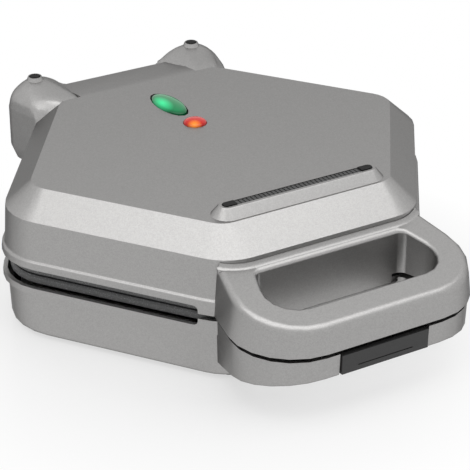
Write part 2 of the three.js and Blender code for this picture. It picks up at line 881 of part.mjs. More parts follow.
function railFoot(side) {
  const plug = railSlot(seatGap, railFloor + seatGap, restPlane);
  const inner = railSlotHalfLength - railFootLength;
  const outer = railSlotHalfLength + cutOver;
  const x = side > 0 ? [inner, outer] : [-outer, -inner];
  const y = [railY - railHalfWidth, railY + railHalfWidth];
  return plug.intersect(block(x, y, [railFloor, restPlane + cutOver]));
}

function lens(length, width) {
  const sphere = new THREE.SphereGeometry(1, rodSides, thinRodSides);
  sphere.rotateX(Math.PI / 2);
  sphere.scale(width / 2, length / 2, lensRise);
  const reach = Math.max(length, width);
  const dome = solidOf(sphere).intersect(block([-reach, reach], [-reach, reach], [0, reach]));
  const flangeTop = -shellWall - seatGap;
  const flange = lensOutline(length + 2 * lensFlange, width + 2 * lensFlange);
  return join(
    dome,
    prism('z', lensOutline(length, width), flangeTop - lensFlangeHeight / 2, facet / 2),
    prism('z', flange, flangeTop - lensFlangeHeight, flangeTop),
  );
}

const lampTop = topInside - seatGap - lensFlangeHeight - lampSpace;

// A sheet strip that hangs from the lid's top and carries both lamps
function lampBracket() {
  const x = [-lampBracketWidth / 2, lampBracketWidth / 2];
  const front = powerLensY - powerLensSize / 2 - lampBracketReach;
  const back = readyLensY + readyLensLength / 2 + lampBracketReach;
  const top = lampTop - 2 * lampRadius - seatGap;
  const bottom = top - lampBracketSheet;
  return join(
    block(x, [front, back], [bottom, top]),
    block(x, [front, front + lampBracketSheet], [bottom, topInside - seatGap]),
    block(x, [back - lampBracketSheet, back], [bottom, topInside - seatGap]),
  );
}

function lamp() {
  const round = lampRadius / 2;
  const profile = [
    [0, -lampLength / 2],
    [lampRadius - round, -lampLength / 2],
    [lampRadius, round - lampLength / 2],
    [lampRadius, lampLength / 2],
    [0, lampLength / 2],
  ].map(([r, along]) => new THREE.Vector2(r, along));
  return solidOf(new THREE.LatheGeometry(profile, thinRodSides));
}

// Handle

const handleRootY = -bodyFront + shellWall;
const handleFrontY = -bodyFront - handleReach;
const gripBackY = -bodyFront - gripGap;
const gripFrontY = gripBackY - gripDepth;
const handleRootTop = topFace - handleTopDrop;

function handleTop(y) {
  return handleRootTop + (y + bodyFront) * handleSlopeShare;
}

function lowerHandleBottom(y) {
  return baseRim - lowerHandleDepth - (y - handleFrontY) * lowerSlopeShare;
}

function handleOutline(inset) {
  const widen = (handleFrontHalfWidth - handleRootHalfWidth) / (handleReach + shellWall);
  const root = handleRootHalfWidth - widen * (handleRootY + bodyFront);
  const corners = [
    [-handleFrontHalfWidth, handleFrontY],
    [handleFrontHalfWidth, handleFrontY],
    [root, handleRootY + shellWall],
    [-root, handleRootY + shellWall],
  ];
  const front = handleCornerRadius - inset;
  return rounded(drawnIn(corners, [inset, inset, 0, inset]), [front, front, facet, facet],
    handleSteps);
}

function gripOutline(outset) {
  const corners = [
    [-gripFrontHalfWidth, gripFrontY],
    [gripFrontHalfWidth, gripFrontY],
    [gripBackHalfWidth, gripBackY],
    [-gripBackHalfWidth, gripBackY],
  ];
  const front = gripFrontRadius + outset;
  const back = gripBackRadius + outset;
  return rounded(drawnIn(corners, -outset), [front, front, back, back]);
}

// The finger opening, with its upper edge rounded over
function gripCut() {
  const edge = quarterRound(gripRound).map(({ inset, short }) =>
    ringAt(gripOutline(inset), (y) => handleTop(y) - short));
  return loft([
    ringAt(gripOutline(0), baseBottom),
    ...edge,
    ringAt(gripOutline(gripRound), (y) => handleTop(y) + cutOver),
  ]);
}

// Everything in front of the solid root of the handle
function handleHollow(outline, bottom, height) {
  const wide = handleFrontHalfWidth + handleReach;
  const rootY = -bodyFront - handleRootDepth;
  const room = loft(outline.map(([inset, z]) => ringAt(handleOutline(inset), z)));
  const grip = loft([ringAt(gripOutline(handleWall), bottom - cutOver),
    ringAt(gripOutline(handleWall), height + cutOver)]);
  const front = block([-wide, wide], [handleFrontY - handleReach, rootY], [bottom - cutOver, height]);
  return room.intersect(front).subtract(grip);
}

const coverPostY = (gripFrontY - handleWall + handleFrontY + handleWall) / 2;
const upperCoverBottom = lidRim + handleCoverSink;
const upperCoverTop = upperCoverBottom + handleCoverSheet;
const lowerCoverTop = baseRim - handleCoverSink;
const lowerCoverBottom = lowerCoverTop - handleCoverSheet;

function coverPosts(from, to) {
  return [-coverPostX, coverPostX].map((x) => rod('z', [x, coverPostY], coverPostRadius, from, to));
}

function coverPostHoles(from, to) {
  return [-coverPostX, coverPostX].map((x) => screwHole('z', [x, coverPostY], from, to));
}

function handleScrewHoles(z) {
  const inner = -bodyFront - handleRootDepth + cutOver;
  return [-handleScrewX, handleScrewX].map((x) => screwHole('y', [x, z], inner, 0));
}

// The hollow curve by which the top of the handle runs up to the lid's band
function rootFillet() {
  const draft = (bandDraft * handleTopDrop) / (chamferFoot - lidLipTop);
  const levels = quarterRound(1).map(({ inset, short }) => ({ out: short, up: inset }));
  const ringOut = (out, rise) =>
    ringAt(bodyOutline(-draft - out * rootFilletRun), (y) => handleTop(y) + rise * rootFilletRise);
  const curve = loft([ringOut(1, -1), ...levels.map(({ out, up }) => ringOut(out, up))]);
  const plan = handleOutline(facet);
  return curve.intersect(loft([ringAt(plan, lidRim), ringAt(plan, topFace)]));
}

// The wall that hangs below the parting gap at the back of the finger opening
function gripSkirt() {
  const y = [gripBackY, -bodyFront - lipOut - seatGap];
  return block([-gripSkirtHalfWidth, gripSkirtHalfWidth], y, [lidRim - gripSkirtDrop, lidRim + cutOver]);
}

function upperHandle() {
  const edge = quarterRound(handleRound).map(({ inset, short }) =>
    ringAt(handleOutline(inset), (y) => handleTop(y) - short));
  const body = loft([ringAt(handleOutline(-handleDraft), lidRim), ...edge]);
  const hollow = handleHollow([
    [handleWall - handleDraft, lidRim - cutOver],
    [handleWall - handleDraft, upperCoverTop + seatGap],
    [handleWall, (y) => handleTop(y) - handleRound],
    [handleWall + handleRound, (y) => handleTop(y) - handleWall],
  ], lidRim, topFace);
  const posts = coverPosts(upperCoverTop + seatGap, handleTop(coverPostY) - handleWall / 2);
  const postHoles = coverPostHoles(lidRim, upperCoverTop + screwLength);
  return cut(join(cut(join(body, rootFillet()), gripCut(), hollow), gripSkirt(), ...posts),
    lidOutside(seatGap), ...postHoles, ...handleScrewHoles(handleScrewLidZ));
}

// Latch places, from the lower handle's front face and rim

const lowerHandleFrontY = handleFrontY - handleDraft + lowerHandleInset;
const buttonFrontY = lowerHandleFrontY - buttonProud;
const buttonBackY = buttonFrontY + buttonThickness;
const buttonTop = baseRim - buttonTopDrop;
const buttonBottom = baseRim - lowerHandleDepth + buttonFootGap;
const latchPinY = buttonFrontY + pinBack;
const latchPinZ = baseRim - pinDrop;
const latchArmTop = upperCoverTop + 2 * seatGap + latchNoseHeight;
const latchArmBackY = latchPinY + latchArmThickness / 2;
const latchNoseY = latchArmBackY + latchNose;
const pinBossX = buttonHalfWidth + 2 * buttonSideGap;

function lowerHandle() {
  const side = lowerHandleInset - handleDraft;
  const rounding = quarterRound(lowerHandleRound).reverse().map(({ inset, short }) =>
    ringAt(handleOutline(side + baseDraft + inset), (y) => lowerHandleBottom(y) + short));
  const body = loft([...rounding, ringAt(handleOutline(side), baseRim)]);
  const wall = side + handleWall;
  const floorAt = (y) => lowerHandleBottom(y) + handleWall;
  const hollow = handleHollow([[wall + baseDraft, floorAt], [wall, baseRim + cutOver]], baseBottom,
    baseRim + cutOver);
  const bossY = [latchPinY - pinBossHalfDepth, latchPinY + pinBossHalfDepth];
  const bosses = [1, -1].map((way) => {
    const x = [way * pinBossX, way * (pinBossX + pinBossWidth)].sort((a, b) => a - b);
    return block(x, bossY, [baseBottom, lowerCoverBottom - seatGap]);
  });
  const inner = join(...bosses, ...coverPosts(baseBottom, lowerCoverBottom - seatGap));
  const postHoles = coverPostHoles(floorAt(coverPostY), baseRim);
  const pinEnd = pinBossX + pinBossWidth;
  const pinHole = rod('x', [latchPinY, latchPinZ], latchPinRadius + turnGap, -pinEnd, pinEnd,
    thinRodSides);
  const gap = buttonHalfWidth + buttonSideGap;
  const doorY = [handleFrontY - handleReach, buttonBackY + buttonBackGap];
  const door = block([-gap, gap], doorY, [baseBottom, baseRim + cutOver]);
  const skirtRoom = block([-gripBackHalfWidth, gripBackHalfWidth], [gripBackY - seatGap, 0],
    [lidRim - gripSkirtDrop - seatGap, baseRim + cutOver]);
  return cut(join(cut(body, gripCut(), hollow), inner.intersect(body)), baseOutside(seatGap), door,
    skirtRoom, pinHole, ...postHoles, ...handleScrewHoles(handleScrewBaseZ));
}

// The plate that closes a handle half's hollow, with a slot for the latch's arm
function handleCover(inset, bottom, top, slotBackY) {
  const margin = inset + seatGap;
  const slotX = latchHubHalfWidth + cutOver;
  const grip = handleWall + seatGap;
  const rootY = -bodyFront - handleRootDepth - seatGap;
  const wide = handleFrontHalfWidth + handleReach;
  const sheet = loft([ringAt(handleOutline(margin), bottom), ringAt(handleOutline(margin), top)]);
  const hole = loft([ringAt(gripOutline(grip), bottom - cutOver),
    ringAt(gripOutline(grip), top + cutOver)]);
  const root = block([-wide, wide], [rootY, 0], [bottom - cutOver, top + cutOver]);
  const slotFrontY = slotBackY - latchArmThickness - latchNose - latchSlotRoom;
  const slot = block([-slotX, slotX], [slotFrontY, slotBackY], [bottom - cutOver, top + cutOver]);
  return cut(sheet, hole, root, slot, ...coverPostHoles(bottom - cutOver, top + cutOver));
}

// The rocker: press its foot and it tips about the pin, so that its hook moves forwards and lets go
function latchButton() {
  const plate = block([-buttonHalfWidth, buttonHalfWidth], [buttonFrontY, buttonBackY],
    [buttonBottom, buttonTop]);
  const grooveZ = buttonBottom + buttonGrooveRise;
  const groove = block([-buttonGrooveHalfLength, buttonGrooveHalfLength],
    [buttonFrontY - cutOver, buttonFrontY + buttonGrooveDepth],
    [grooveZ, grooveZ + buttonGrooveDepth]);
  const arm = block([-latchHubHalfWidth, latchHubHalfWidth],
    [latchPinY - latchArmThickness / 2, latchArmBackY], [latchPinZ, latchArmTop]);
  const nose = prism('x', [
    [latchArmBackY - latchArmThickness / 2, latchArmTop - latchNoseHeight],
    [latchNoseY, latchArmTop - latchNoseHeight],
    [latchArmBackY, latchArmTop],
    [latchArmBackY - latchArmThickness / 2, latchArmTop],
  ], -latchHubHalfWidth, latchHubHalfWidth);
  const hubs = [
    [-latchHubHalfWidth, latchHubHalfWidth],
    [latchLugX - latchLugWidth / 2, latchLugX + latchLugWidth / 2],
    [-latchLugX - latchLugWidth / 2, latchLugWidth / 2 - latchLugX],
  ].map(([from, to]) => join(
    rod('x', [latchPinY, latchPinZ], latchHubRadius, from, to, thinRodSides),
    block([from, to], [buttonBackY - facet, latchPinY],
      [latchPinZ - latchHubRadius, latchPinZ + latchHubRadius]),
  ));
  const bore = rod('x', [latchPinY, latchPinZ], latchPinRadius + turnGap, -buttonHalfWidth,
    buttonHalfWidth, thinRodSides);
  return cut(join(cut(plate, groove), arm, nose, ...hubs), bore);
}

function latchPin() {
  const end = pinBossX + pinBossWidth;
  return rod('x', [latchPinY, latchPinZ], latchPinRadius, -end, end, thinRodSides);
}

// The torsion spring on the latch's pin, as the plain sleeve that its closed coils fill
function latchSpring() {
  const from = latchHubHalfWidth + seatGap;
  const to = latchLugX - latchLugWidth / 2 - seatGap;
  const bore = latchPinRadius + seatGap;
  return cut(
    rod('x', [latchPinY, latchPinZ], bore + springWire, from, to, thinRodSides),
    rod('x', [latchPinY, latchPinZ], bore, from - cutOver, to + cutOver, thinRodSides),
  );
}

// Base shell

function baseOutside(grow = 0) {
  const lipFoot = baseRim - baseLipHeight;
  const wall = -baseDraft - grow;
  return loft([
    ...quarterRound(baseRound).reverse().map(({ inset, short }) =>
      bodyRing(baseBottom + short - (short > 0 ? 0 : grow), wall + inset, wall + inset, baseTipGrow)),
    bodyRing(lipFoot - baseLipSlope, wall),
    bodyRing(lipFoot, -lipOut - grow),
    bodyRing(baseRim + grow, -lipOut - grow),
  ]);
}

function baseInside() {
  const lipFoot = baseRim - baseLipHeight;
  const wall = shellWall - baseDraft;
  const foot = wall + baseRound / 2;
  return loft([
    bodyRing(floorInside, foot, foot, baseTipGrow),
    bodyRing(floorInside + baseRound / 2, wall, wall, baseTipGrow),
    bodyRing(lipFoot - baseLipSlope / 2, wall),
    bodyRing(lipFoot + shellWall / 2, shellWall - lipOut),
    bodyRing(baseRim + cutOver, shellWall - lipOut),
  ]);
}

// An arm of the hinge: up the back wall of the base, then round the pin
function hingeArm(from, to) {
  const front = bodyFront + lipOut + cutOver;
  const back = front + armDepth - lipOut / 2;
  const neck = hingeZ - hingeEyeRadius - cutOver * 2;
  const top = baseRim - armRootHeight / 2;
  const eye = rod('x', [hingeY, hingeZ], hingeEyeRadius, from, to);
  const upright = prism('x', [
    [bodyFront - shellWall / 2, baseBottom + armRootHeight],
    [bodyFront + lipOut / 2, baseBottom + armRootHeight],
    [back, baseBottom + armRootHeight * 2],
    [back, neck],
    [front, top],
    [bodyFront - shellWall / 2, top],
  ], from, to);
  const gooseneck = prism('x', [
    [front, top - armRootHeight],
    [back, top - armRootHeight],
    [back, neck],
    [hingeY, hingeZ - hingeEyeRadius],
    [hingeY, hingeZ],
    [hingeY - hingeEyeRadius / 2, hingeZ + hingeEyeRadius / 2],
    [front, lidRim + partingGap],
  ], from, to);
  return join(eye, upright, gooseneck);
}

function footPlaces() {
  const front = footSlant;
  const corner = (footSlant - front * Math.cos(slantAngle)) / Math.sin(slantAngle);
  return [[corner, front], [-corner, front], [-corner, -front], [corner, -front]];
}

const wiringY = bodyFront - wiringCoverMargin - shellWall - baseRound - wiringCoverDepth / 2;
const wiringScrewX = (wiringCoverWidth - wiringLedge) / 2 - screwHeadRadius;
const glandZ = baseBottom + glandHeight;

function wiringBox(shrink, bottom, top) {
  const half = wiringCoverWidth / 2 - shrink;
  const depth = wiringCoverDepth / 2 - shrink;
  return block([-half, half], [wiringY - depth, wiringY + depth], [bottom, top]);
}

function baseShell() {
  const armOuter = earInner - hingeSideGap;
  const armInner = armOuter - hingeEyeWidth;
  const arms = [hingeArm(armInner, armOuter), hingeArm(-armOuter, -armInner)];
  const { posts, holes } = plateBosses(lowerFace, floorInside);
  const bores = rod('x', [hingeY, hingeZ], hingePinRadius + turnGap, -earOuter, earOuter);
  const recesses = footPlaces().map((place) =>
    rod('z', place, footRadius + seatGap, baseBottom - cutOver, baseBottom + footRecess));
  const vents = Array.from({ length: ventCount }, (_, i) => {
    const x = (i - (ventCount - 1) / 2) * ventPitch;
    return block([x - ventWidth / 2, x + ventWidth / 2],
      [ventY - ventLength / 2, ventY + ventLength / 2], [baseBottom - cutOver, floorInside + cutOver]);
  });
  const recess = wiringBox(0, baseBottom - cutOver, baseBottom + wiringCoverSheet + seatGap);
  const sill = wiringBox(wiringLedge, baseBottom, floorInside + cutOver);
  const ledgeTop = floorInside + shellWall;
  const ledge = wiringBox(-wiringLedge, floorInside - shellWall / 2, ledgeTop);
  const sillHole = wiringBox(wiringLedge, floorInside - cutOver, ledgeTop + cutOver);
  const wiringHoles = [-wiringScrewX, wiringScrewX].map((x) =>
    screwHole('z', [x, wiringY], baseBottom, ledgeTop + cutOver));
  const screwPads = [-wiringScrewX, wiringScrewX].map((x) =>
    rod('z', [x, wiringY], screwHeadRadius, baseBottom + wiringCoverSheet + seatGap, ledgeTop));
  const gland = rod('y', [0, glandZ], glandRadius + seatGap, bodyFront - shellWall * 2,
    bodyFront + lipOut);
  const screwHoles = [-handleScrewX, handleScrewX].map((x) =>
    screwHole('y', [x, handleScrewBaseZ], -bodyFront - lipOut - cutOver, handleScrewHoleDepth - bodyFront));
  const windows = windowCuts(baseRim - windowFall, baseRim + cutOver + windowCornerRadius);
  const shell = cut(join(baseOutside(), ...arms), baseInside(), recess, ...vents);
  const framed = cut(join(shell, ledge, ...posts), sill, sillHole);
  return cut(join(framed, ...screwPads), recess, ...wiringHoles, ...holes, bores, ...recesses, gland,
    ...screwHoles, ...windows);
}

function wiringCover() {
  const top = baseBottom + wiringCoverSheet;
  const holes = [-wiringScrewX, wiringScrewX].flatMap((x) => [
    screwHole('z', [x, wiringY], baseBottom - cutOver, top + cutOver),
  ]);
  return cut(wiringBox(seatGap, baseBottom, top), ...holes);
}

function foot() {
  const top = footHeight + footRecess - seatGap;
  const profile = [
    [0, 0],
    [footRadius - footRecess, 0],
    [footRadius, footRecess],
    [footRadius, top],
    [0, top],
  ].map(([r, z]) => new THREE.Vector2(r, z));
  const geometry = new THREE.LatheGeometry(profile, rodSides);
  geometry.rotateX(Math.PI / 2);
  return solidOf(geometry);
}

function thermostat() {
  const body = rod('z', [0, 0], thermostatRadius, -thermostatHeight, 0);
  const tabs = [-1, 1].map((way) => {
    const x = way * (thermostatRadius - thermostatTabSheet * 2);
    return block([x - thermostatTabSheet / 2, x + thermostatTabSheet / 2],
      [-thermostatTabWidth / 2, thermostatTabWidth / 2],
      [-thermostatHeight - thermostatTabLength, -thermostatHeight / 2]);
  });
  return join(body, ...tabs);
}

function thermalFuse() {
  const end = fuseLength / 2 + fuseLeadLength;
  return join(
    rod('x', [0, 0], fuseRadius, -fuseLength / 2, fuseLength / 2, thinRodSides),
    rod('x', [0, 0], fuseLeadRadius, -end, end, thinRodSides),
  );
}

function terminalBlock() {
  const body = block([-terminalWidth / 2, terminalWidth / 2], [-terminalDepth / 2, terminalDepth / 2],
    [0, terminalHeight]);
  const pitch = terminalWidth / terminalCount;
  const wells = Array.from({ length: terminalCount }, (_, i) => {
    const x = (i - (terminalCount - 1) / 2) * pitch;
    return rod('z', [x, 0], terminalWell / 2, terminalHeight - terminalWellDepth,
      terminalHeight + cutOver, thinRodSides);
  });
  return cut(body, ...wells);
}

// The bushing in the hole of the back wall, with a flange on both sides of it
function cordGland() {
  const inner = bodyFront - shellWall - baseDraft - glandFlangeSheet - seatGap;
  const outer = inner + glandLength;
  const flange = glandRadius + glandFlange;
  return cut(
    join(
      rod('y', [0, glandZ], glandRadius, inner, outer),
      rod('y', [0, glandZ], flange, inner, inner + glandFlangeSheet),
      rod('y', [0, glandZ], flange, outer - glandFlangeSheet, outer),
    ),
    rod('y', [0, glandZ], cordRadius, inner - cutOver, outer + cutOver),
  );
}

function hingePin(side) {
  const inner = side * (earInner - hingeSideGap - hingeEyeWidth);
  const outer = side * (earInner + hingePinReach - seatGap);
  return rod('x', [hingeY, hingeZ], hingePinRadius, Math.min(inner, outer), Math.max(inner, outer));
}

// Assembly

const samosaMaker = new THREE.Group();
const base = new THREE.Group();
const lid = new THREE.Group();
samosaMaker.add(base, lid);

function place(group, name, solid, look, position = [0, 0, 0], rotation = [0, 0, 0]) {
  const mesh = new THREE.Mesh(geometryOf(solid), look);
  mesh.name = name;
  mesh.position.set(...position);
  mesh.rotation.set(...rotation);
  group.add(mesh);
}

const halfTurn = [Math.PI, 0, 0];
const plate = grillPlate();
const element = heatingElement();
const shield = heatShield();
const screw = screwSolid(screwLength);
const corners = ['back_right', 'back_left', 'front_left', 'front_right'];
const sides = [['left', -1], ['right', 1]];

place(lid, 'lid_shell', lidShell(), silverPlastic);
place(lid, 'upper_handle', upperHandle(), silverPlastic);
place(lid, 'upper_handle_cover',
  handleCover(handleWall - handleDraft, upperCoverBottom, upperCoverTop, latchNoseY + seatGap),
  blackPlastic);
place(lid, 'rail_strip', railStrip(), greyPlastic);
place(lid, 'ready_lens', lens(readyLensLength, readyLensWidth), greenLens, [0, readyLensY, topFace]);
place(lid, 'power_lens', lens(powerLensSize, powerLensSize), orangeLens, [0, powerLensY, topFace]);
place(lid, 'lamp_bracket', lampBracket(), sheetMetal);
place(lid, 'ready_lamp', lamp(), clearGlass, [0, readyLensY, lampTop - lampRadius]);
place(lid, 'power_lamp', lamp(), clearGlass, [0, powerLensY, lampTop - lampRadius]);
place(lid, 'upper_plate', plate, coatedMetal, [0, 0, upperFace], halfTurn);
place(lid, 'upper_element', element, elementMetal, [0, 0, upperFace], [0, Math.PI, 0]);
place(lid, 'upper_heat_shield', shield, sheetMetal, [0, 0, upperFace], [0, Math.PI, 0]);

place(base, 'base_shell', baseShell(), silverPlastic);
place(base, 'lower_handle', lowerHandle(), silverPlastic);
place(base, 'lower_handle_cover',
  handleCover(lowerHandleInset - handleDraft + handleWall, lowerCoverBottom, lowerCoverTop,
    latchNoseY + seatGap),
  blackPlastic);
place(base, 'lower_plate', plate, coatedMetal, [0, 0, lowerFace]);
place(base, 'lower_element', element, elementMetal, [0, 0, lowerFace]);
place(base, 'lower_heat_shield', shield, sheetMetal, [0, 0, lowerFace]);
place(base, 'thermostat', thermostat(), whiteCeramic, [0, 0, lowerFace - plateSheet - seatGap]);
place(base, 'thermal_fuse', thermalFuse(), sheetMetal,
  [fuseX, 0, lowerFace - plateSheet - seatGap - fuseRadius]);
place(base, 'terminal_block', terminalBlock(), whiteCeramic,
  [0, wiringY + wiringCoverDepth / 2 - terminalMargin, floorInside + shellWall + seatGap]);
place(base, 'wiring_cover', wiringCover(), blackPlastic);
place(base, 'cord_gland', cordGland(), blackRubber);
place(base, 'latch_pin', latchPin(), brightMetal);
place(base, 'latch_spring', latchSpring(), brightMetal);
place(base, 'latch_button', latchButton(), greyPlastic);

plateScrewPlaces().forEach(([x, y], i) => {
  const sink = screwHeadHeight;
  place(lid, `upper_plate_screw_${corners[i]}`, screw, brightMetal, [x, y, upperFace + sink], halfTurn);
  place(base, `lower_plate_screw_${corners[i]}`, screw, brightMetal, [x, y, lowerFace - sink]);
});

footPlaces().forEach(([x, y], i) => {
  place(base, `base_foot_${corners[i]}`, foot(), blackRubber, [x, y, 0]);
});

for (const [side, way] of sides) {
  const cap = rod('z', [way * capCentre, hingeY], capRadius, restPlane - capHeight, restPlane);
  const inwards = [-Math.PI / 2, 0, 0];
  place(lid, `dome_cap_${side}`, cap, blackRubber);
  place(lid, `rail_foot_${side}`, railFoot(way), blackRubber);
  place(lid, `upper_cover_screw_${side}`, screwSolid(screwLength - screwHeadHeight), brightMetal,
    [way * coverPostX, coverPostY, upperCoverBottom - seatGap], halfTurn);
  place(lid, `upper_handle_screw_${side}`, screwSolid(handleScrewLength), brightMetal,
    [way * handleScrewX, handleScrewSeatY, handleScrewLidZ], inwards);
  place(base, `lower_handle_screw_${side}`, screwSolid(handleScrewLength), brightMetal,
    [way * handleScrewX, handleScrewSeatY, handleScrewBaseZ], inwards);
  place(base, `lower_cover_screw_${side}`, screwSolid(screwLength - screwHeadHeight), brightMetal,
    [way * coverPostX, coverPostY, lowerCoverTop + seatGap]);
  place(base, `wiring_cover_screw_${side}`, screwSolid(screwLength / 2), brightMetal,
    [way * wiringScrewX, wiringY, baseBottom - seatGap], halfTurn);
  place(base, `hinge_pin_${side}`, hingePin(way), brightMetal);
}

// The whole part is moved so that the middle of its length is over the origin
const frontEnd = handleFrontY - handleDraft;
const backEnd = hingeY + earBackReach;
samosaMaker.position.y = -(frontEnd + backEnd) / 2;

export default samosaMaker;
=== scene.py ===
"""Looks of a hexagonal samosa maker: rounded silver shells, lenses, plates, rubber and metal.
Lengths are metres in the frame's own axes: x along the hinge, y from handle to hinge, z up."""
import json
import math

import bmesh
import bpy
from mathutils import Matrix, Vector

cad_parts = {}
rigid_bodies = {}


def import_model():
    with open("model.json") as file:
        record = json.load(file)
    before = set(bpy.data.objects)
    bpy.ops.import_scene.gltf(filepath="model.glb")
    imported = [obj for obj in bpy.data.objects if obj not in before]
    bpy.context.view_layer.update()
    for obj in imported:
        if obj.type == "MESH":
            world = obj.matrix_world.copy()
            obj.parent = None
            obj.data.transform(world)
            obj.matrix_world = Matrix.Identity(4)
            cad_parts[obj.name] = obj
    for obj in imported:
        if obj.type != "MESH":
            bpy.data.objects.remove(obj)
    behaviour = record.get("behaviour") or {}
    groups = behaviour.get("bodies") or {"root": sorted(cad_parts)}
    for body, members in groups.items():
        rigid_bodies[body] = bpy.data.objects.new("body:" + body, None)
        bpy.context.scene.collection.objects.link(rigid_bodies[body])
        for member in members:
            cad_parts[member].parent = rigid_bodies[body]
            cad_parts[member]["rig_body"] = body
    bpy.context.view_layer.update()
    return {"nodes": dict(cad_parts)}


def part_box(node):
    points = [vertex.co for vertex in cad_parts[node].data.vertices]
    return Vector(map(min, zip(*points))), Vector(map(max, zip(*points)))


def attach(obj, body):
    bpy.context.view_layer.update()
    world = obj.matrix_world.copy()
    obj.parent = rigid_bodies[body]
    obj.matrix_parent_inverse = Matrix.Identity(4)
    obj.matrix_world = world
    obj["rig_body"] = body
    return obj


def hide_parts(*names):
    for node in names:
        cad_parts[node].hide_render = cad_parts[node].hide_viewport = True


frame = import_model()

MM = 0.001

# Camera, at the photograph's angle
AZIMUTH = math.radians(-31.0)
ELEVATION = math.radians(27.26)
DISTANCE = 0.994
TARGET = Vector((-0.0547, -0.0921, 0.087))
FOCAL_PIXELS = 1892.5
FRAME_PIXELS = 470
SENSOR = 36.0

# Softbox over the front left, and the world's share of the light on the object
SOFTBOX_PLACE = (-0.2, -0.32, 1.25)
SOFTBOX_TURN = math.radians(-20.0)
SOFTBOX_WIDTH = 2.4
SOFTBOX_DEPTH = 1.15
SOFTBOX_POWER = 11.6
FILL = 0.45
WHITE = 1.0

# Floor: how far out it turns plain white, and how bright it is in reflections from front to back
FLOOR_HALF = 4.0
SHADOW_CENTRE = (-0.03, -0.02, 0.0)
SHADOW_START = 0.1
SHADOW_END = 0.215
NEAR_WHITE_SHARE = 0.58
REFLECTION_START = 0.02
REFLECTION_END = 0.18
REFLECTION_BACK = 0.58

# Clean-up of an imported solid, and the turn in degrees from which an edge is shaded sharp
WELD = 0.002 * MM
FLAT_ANGLE = math.radians(0.5)
SHARP_TURN = 38.0
NORMAL_WEIGHT = 60

# Rounded edges
CHAMFER_ROUND = 1.6 * MM
CHAMFER_STEPS = 3
SHELL_RIM_ROUND = 0.4 * MM
HANDLE_RIM_ROUND = 0.5 * MM
BUTTON_ROUND = 0.4 * MM
EDGE_STEPS = 2

# Which edges are rounded: turns in degrees, slopes as the upward part of a face's normal
CHAMFER_TURN = 25
CHAMFER_SLOPES = (0.55, 0.9)
LEVEL_SLOPE = 0.98
UPRIGHT_SLOPE = 0.2
RIM_TURN = 60
RIM_TOLERANCE = 0.05 * MM
RIM_SHORTEST = 1.2 * MM
BUTTON_TURN = 50
BUTTON_SHORTEST = 2 * MM
BUTTON_LEAST_AREA = 20 * MM * MM

# The two domes of the lid, from the left one's cap, and how their facets are evened out
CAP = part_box("dome_cap_left")
DOME_HALF = Vector((23.0, 37.0, 0.0)) * MM
DOME_SHOULDER = CAP[1].z - 18.0 * MM
DOME_TOP = CAP[1].z - 2.8 * MM
DOME_CORE_DROP = 5 * MM
EVEN_LONGEST = 1.6 * MM
EVEN_DIVISIONS = 5
EVEN_PASSES = 18
EVEN_FACTOR = 0.5

# Lenses and rubber caps; TIP is the share of the half width that the topmost ring keeps
LENS_FLANGE = 1.6 * MM
LENS_FLANGE_HEIGHT = 1.6 * MM
LENS_RISE = 2.8 * MM
LENS_RINGS = 14
LENS_STEPS = 64
CAP_EDGE = 0.6 * MM
CAP_RINGS = 4
CAP_STEPS = 40
TIP = 0.01


def place_camera():
    back = Vector((
        math.sin(AZIMUTH) * math.cos(ELEVATION),
        -math.cos(AZIMUTH) * math.cos(ELEVATION),
        math.sin(ELEVATION),
    ))
    data = bpy.data.cameras.new("camera")
    data.sensor_width = SENSOR
    data.lens = FOCAL_PIXELS * SENSOR / FRAME_PIXELS
    camera = bpy.data.objects.new("camera", data)
    camera.location = TARGET + back * DISTANCE
    camera.rotation_mode = "QUATERNION"
    camera.rotation_quaternion = (-back).to_track_quat("-Z", "Y")
    bpy.context.scene.collection.objects.link(camera)
    bpy.context.scene.camera = camera


# Shader nodes

def material(name):
    made = bpy.data.materials.new(name)
    made.use_nodes = True
    return made, made.node_tree, made.node_tree.nodes["Principled BSDF"]


def put(tree, socket, value):
    """Links the socket where the value is an output, and sets it where it is a number or colour."""
    if isinstance(value, bpy.types.NodeSocket):
        tree.links.new(value, socket)
    else:
        socket.default_value = value


def add(tree, kind, values=None, **settings):
    node = tree.nodes.new(kind)
    for key, value in settings.items():
        setattr(node, key, value)
    for key, value in (values or {}).items():
        put(tree, node.inputs[key], value)
    return node


def calculate(tree, operation, first, second):
    return add(tree, "ShaderNodeMath", {0: first, 1: second}, operation=operation).outputs[0]


def surface_point(tree):
    return add(tree, "ShaderNodeTexCoord").outputs["Object"]


def distance(tree, point, centre):
    offset = add(tree, "ShaderNodeVectorMath", {0: point, 1: centre}, operation="SUBTRACT")
    length = add(tree, "ShaderNodeVectorMath", {0: offset.outputs[0]}, operation="LENGTH")
    return length.outputs["Value"]


def noise(tree, size, detail=2.0, stretch=None):
    """A noise field whose features are about size metres across."""
    point = surface_point(tree)
    if stretch:
        point = add(tree, "ShaderNodeMapping", {"Vector": point, "Scale": stretch}).outputs["Vector"]
    field = add(tree, "ShaderNodeTexNoise", {"Vector": point, "Scale": 1 / size, "Detail": detail})
    return field.outputs["Fac"]


def cells(tree, size):
    """A random value from 0 to 1 for each grain about size metres across."""
    field = add(tree, "ShaderNodeTexVoronoi", {"Vector": surface_point(tree), "Scale": 1 / size})
    return add(tree, "ShaderNodeSeparateColor", {"Color": field.outputs["Color"]}).outputs["Red"]


def spread(tree, value, low, high, start=0.0, end=1.0):
    """The value, mapped from start and end to low and high and held between them."""
    values = {"Value": value, "From Min": start, "From Max": end, "To Min": low, "To Max": high}
    return add(tree, "ShaderNodeMapRange", values).outputs["Result"]


def blend_colours(tree, share, first, second):
    """Sockets 0, 6 and 7 of a Mix node are its share and its two colours, and 2 is their mix."""
    return add(tree, "ShaderNodeMix", {0: share, 6: first, 7: second}, data_type="RGBA").outputs[2]


